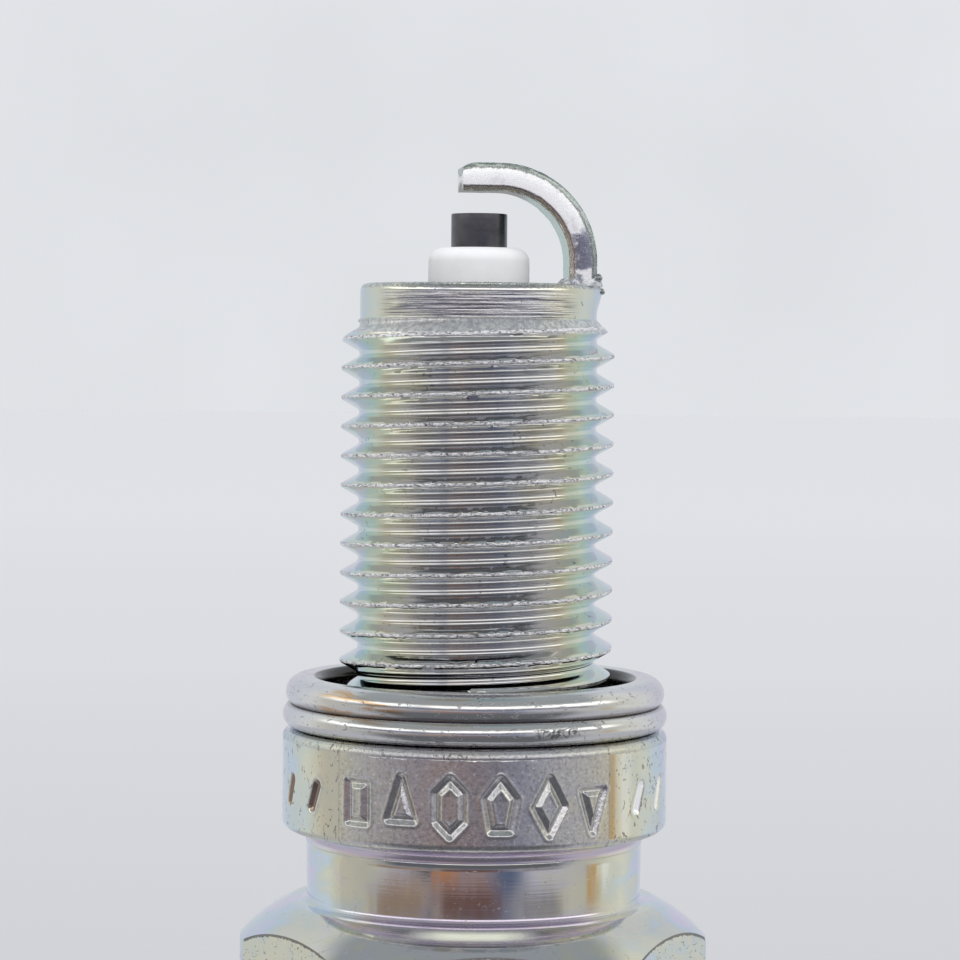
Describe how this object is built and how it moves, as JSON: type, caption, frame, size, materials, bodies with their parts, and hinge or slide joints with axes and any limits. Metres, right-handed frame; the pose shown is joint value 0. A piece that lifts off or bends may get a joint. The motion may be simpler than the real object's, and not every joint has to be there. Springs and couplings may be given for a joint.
{
  "type": "motorcycle spark plug",
  "caption": "Metric spark plug with threaded zinc-plated shell, folded gasket, hexagon, white insulator, bent ground strap and removable terminal nut.",
  "frame": {"origin": "on the plug's axis, in the plane of the shell's seating face under the gasket", "axes": "+Z along the plug's axis toward the firing end; -Y toward the middle of the flange's stamped marks; the ground electrode's leg stands 6 degrees round from +X toward +Y, and a flat of the hexagon faces 4 degrees round from -Y toward +X"},
  "size_m": [0.02, 0.019, 0.0772],
  "materials": {
    "zinc_plated_shell": "bright zinc plate with a thin iridescent passivate",
    "ground_strap": "bright nickel alloy, burnished front edge",
    "gasket_sheet": "bright plated sheet",
    "alumina": "white alumina, matte nose and glazed head",
    "nickel_pin": "dark satin nickel alloy",
    "copper": "plain copper",
    "lower_seal_glass": "dark conductive glass",
    "resistor_body": "black carbon ceramic",
    "upper_seal_glass": "dark conductive glass",
    "stud_steel": "nickel-plated steel",
    "nut_steel": "nickel-plated steel",
    "washer_steel": "plain steel",
    "lower_wire": "plain steel wire",
    "talc": "pressed white powder",
    "upper_wire": "plain steel wire"
  },
  "bodies": {
    "plug": {"shell": "zinc_plated_shell", "ground_electrode": "ground_strap", "insulator": "alumina", "centre_electrode": "nickel_pin", "copper_core": "copper", "lower_glass_seal": "lower_seal_glass", "resistor": "resistor_body", "upper_glass_seal": "upper_seal_glass", "terminal_stud": "stud_steel", "packing_washer": "washer_steel", "lower_wire_ring": "lower_wire", "talc_fill": "talc", "upper_wire_ring": "upper_wire"},
    "gasket_ring": {"gasket": "gasket_sheet"},
    "nut": {"terminal_nut": "nut_steel"}
  },
  "joints": [
    {"name": "gasket_slide", "type": "slide", "parent": "plug", "child": "gasket_ring", "axis": [0, 0, 1], "range_m": [0, 0.0012]},
    {"name": "nut_slide", "type": "slide", "parent": "plug", "child": "nut", "axis": [0, 0, -1], "range_m": [0, 0.0095]}
  ]
}
